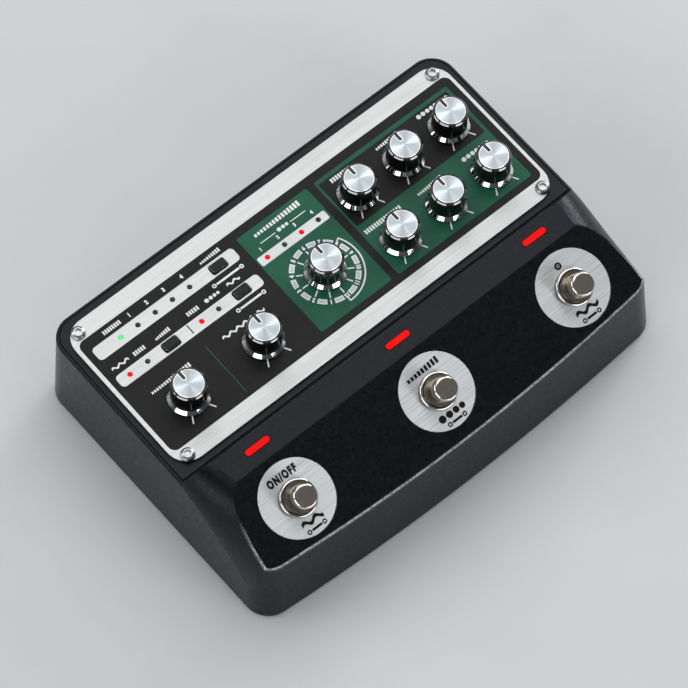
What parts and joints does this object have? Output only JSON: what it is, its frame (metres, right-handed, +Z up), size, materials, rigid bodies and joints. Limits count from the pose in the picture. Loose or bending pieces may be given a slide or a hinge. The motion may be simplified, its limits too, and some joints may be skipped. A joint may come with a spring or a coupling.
{
  "type": "delay pedal",
  "caption": "Three-footswitch delay effects pedal: sloped black die-cast case, silver control panel with turning knobs, push keys, lamp bars and rear sockets.",
  "frame": {"origin": "middle of the bounding box's underside, on the floor under the feet", "axes": "+X to the right along the width, +Y towards the rear wall with the sockets, -Y towards the footswitches, +Z up"},
  "size_m": [0.192, 0.133, 0.0551],
  "materials": {
    "case_paint": "black textured powder coat on die-cast aluminium",
    "deck_paint": "satin black paint on sheet steel",
    "panel_alloy": "brushed silver sheet with printed black and green fields",
    "plate_steel": "brushed stainless plate",
    "zinc_steel": "zinc-plated steel",
    "polished_steel": "polished nickel-plated steel",
    "foot_rubber": "matt black rubber",
    "board_green": "green soldermask board",
    "knob_black": "gloss black moulded plastic",
    "knob_metal": "spun aluminium cap and polished skirt",
    "shaft_metal": "turned aluminium shaft",
    "key_plastic": "dark grey moulded plastic",
    "black_plastic": "black moulded plastic",
    "lamp_green": "lit green lamp",
    "lamp_red": "lit red lamp",
    "lamp_dark": "unlit dark lamp",
    "lens_red": "lit red light bar"
  },
  "bodies": {
    "chassis": {"top_case": "case_paint", "deck_panel": "deck_paint", "control_panel": "panel_alloy", "base_plate": "zinc_steel", "base_screws": "zinc_steel", "rubber_feet": "foot_rubber", "panel_screws": "polished_steel", "potentiometers": "black_plastic", "mode_switch": "black_plastic", "panel_nuts": "zinc_steel", "panel_board": "board_green", "led_green": "lamp_green", "led_red": "lamp_red", "led_unlit": "lamp_dark", "tact_switches": "black_plastic", "footswitch_housings": "polished_steel", "footswitch_nuts": "polished_steel", "footswitch_plates": "plate_steel", "status_lenses": "lens_red", "main_board": "board_green", "board_screws": "zinc_steel", "board_parts": "black_plastic", "phone_jacks": "black_plastic", "jack_nuts": "polished_steel", "mini_jacks": "black_plastic", "usb_socket": "zinc_steel", "dc_inlet": "black_plastic"},
    "dial_saturation": {"knob_saturation": "knob_black", "knob_trim_saturation": "knob_metal", "shaft_saturation": "shaft_metal"},
    "dial_wow": {"knob_wow": "knob_black", "knob_trim_wow": "knob_metal", "shaft_wow": "shaft_metal"},
    "dial_bass": {"knob_bass": "knob_black", "knob_trim_bass": "knob_metal", "shaft_bass": "shaft_metal"},
    "dial_treble": {"knob_treble": "knob_black", "knob_trim_treble": "knob_metal", "shaft_treble": "shaft_metal"},
    "dial_reverb": {"knob_reverb": "knob_black", "knob_trim_reverb": "knob_metal", "shaft_reverb": "shaft_metal"},
    "dial_rate": {"knob_rate": "knob_black", "knob_trim_rate": "knob_metal", "shaft_rate": "shaft_metal"},
    "dial_intensity": {"knob_intensity": "knob_black", "knob_trim_intensity": "knob_metal", "shaft_intensity": "shaft_metal"},
    "dial_echo": {"knob_echo": "knob_black", "knob_trim_echo": "knob_metal", "shaft_echo": "shaft_metal"},
    "dial_mode": {"knob_mode": "knob_black", "knob_trim_mode": "knob_metal", "shaft_mode": "shaft_metal"},
    "pedal_left": {"footswitch_left": "polished_steel"},
    "pedal_middle": {"footswitch_middle": "polished_steel"},
    "pedal_right": {"footswitch_right": "polished_steel"},
    "key_memory": {"button_memory": "key_plastic"},
    "key_input": {"button_input": "key_plastic"},
    "key_tape": {"button_tape": "key_plastic"}
  },
  "joints": [
    {"name": "turn_saturation", "type": "hinge", "parent": "chassis", "child": "dial_saturation", "pos_m": [-0.0704, 0.00991, 0.04187], "axis": [0, -0.0401, 0.9992], "range_deg": [-150, 150]},
    {"name": "turn_wow", "type": "hinge", "parent": "chassis", "child": "dial_wow", "pos_m": [-0.0351, 0.01001, 0.04188], "axis": [0, -0.0401, 0.9992], "range_deg": [-150, 150]},
    {"name": "turn_bass", "type": "hinge", "parent": "chassis", "child": "dial_bass", "pos_m": [0.0307, 0.03444, 0.04286], "axis": [0, -0.0401, 0.9992], "range_deg": [-150, 150]},
    {"name": "turn_treble", "type": "hinge", "parent": "chassis", "child": "dial_treble", "pos_m": [0.0531, 0.03444, 0.04286], "axis": [0, -0.0401, 0.9992], "range_deg": [-150, 150]},
    {"name": "turn_reverb", "type": "hinge", "parent": "chassis", "child": "dial_reverb", "pos_m": [0.0754, 0.03444, 0.04286], "axis": [0, -0.0401, 0.9992], "range_deg": [-150, 150]},
    {"name": "turn_rate", "type": "hinge", "parent": "chassis", "child": "dial_rate", "pos_m": [0.0307, 0.01016, 0.04188], "axis": [0, -0.0401, 0.9992], "range_deg": [-150, 150]},
    {"name": "turn_intensity", "type": "hinge", "parent": "chassis", "child": "dial_intensity", "pos_m": [0.0531, 0.01016, 0.04188], "axis": [0, -0.0401, 0.9992], "range_deg": [-150, 150]},
    {"name": "turn_echo", "type": "hinge", "parent": "chassis", "child": "dial_echo", "pos_m": [0.0754, 0.01016, 0.04188], "axis": [0, -0.0401, 0.9992], "range_deg": [-150, 150]},
    {"name": "turn_mode", "type": "hinge", "parent": "chassis", "child": "dial_mode", "pos_m": [0.0003, 0.01726, 0.04217], "axis": [0, -0.0401, 0.9992], "range_deg": [-180, 150]},
    {"name": "press_left", "type": "slide", "parent": "chassis", "child": "pedal_left", "axis": [0, -0.447, 0.8945], "range_m": [-0.0025, 0], "stiffness_N_per_m": 1200},
    {"name": "press_middle", "type": "slide", "parent": "chassis", "child": "pedal_middle", "axis": [0, -0.447, 0.8945], "range_m": [-0.0025, 0], "stiffness_N_per_m": 1200},
    {"name": "press_right", "type": "slide", "parent": "chassis", "child": "pedal_right", "axis": [0, -0.447, 0.8945], "range_m": [-0.0025, 0], "stiffness_N_per_m": 1200},
    {"name": "push_memory", "type": "slide", "parent": "chassis", "child": "key_memory", "axis": [0, -0.0401, 0.9992], "range_m": [-0.0004, 0], "stiffness_N_per_m": 60},
    {"name": "push_input", "type": "slide", "parent": "chassis", "child": "key_input", "axis": [0, -0.0401, 0.9992], "range_m": [-0.0004, 0], "stiffness_N_per_m": 60},
    {"name": "push_tape", "type": "slide", "parent": "chassis", "child": "key_tape", "axis": [0, -0.0401, 0.9992], "range_m": [-0.0004, 0], "stiffness_N_per_m": 60}
  ]
}
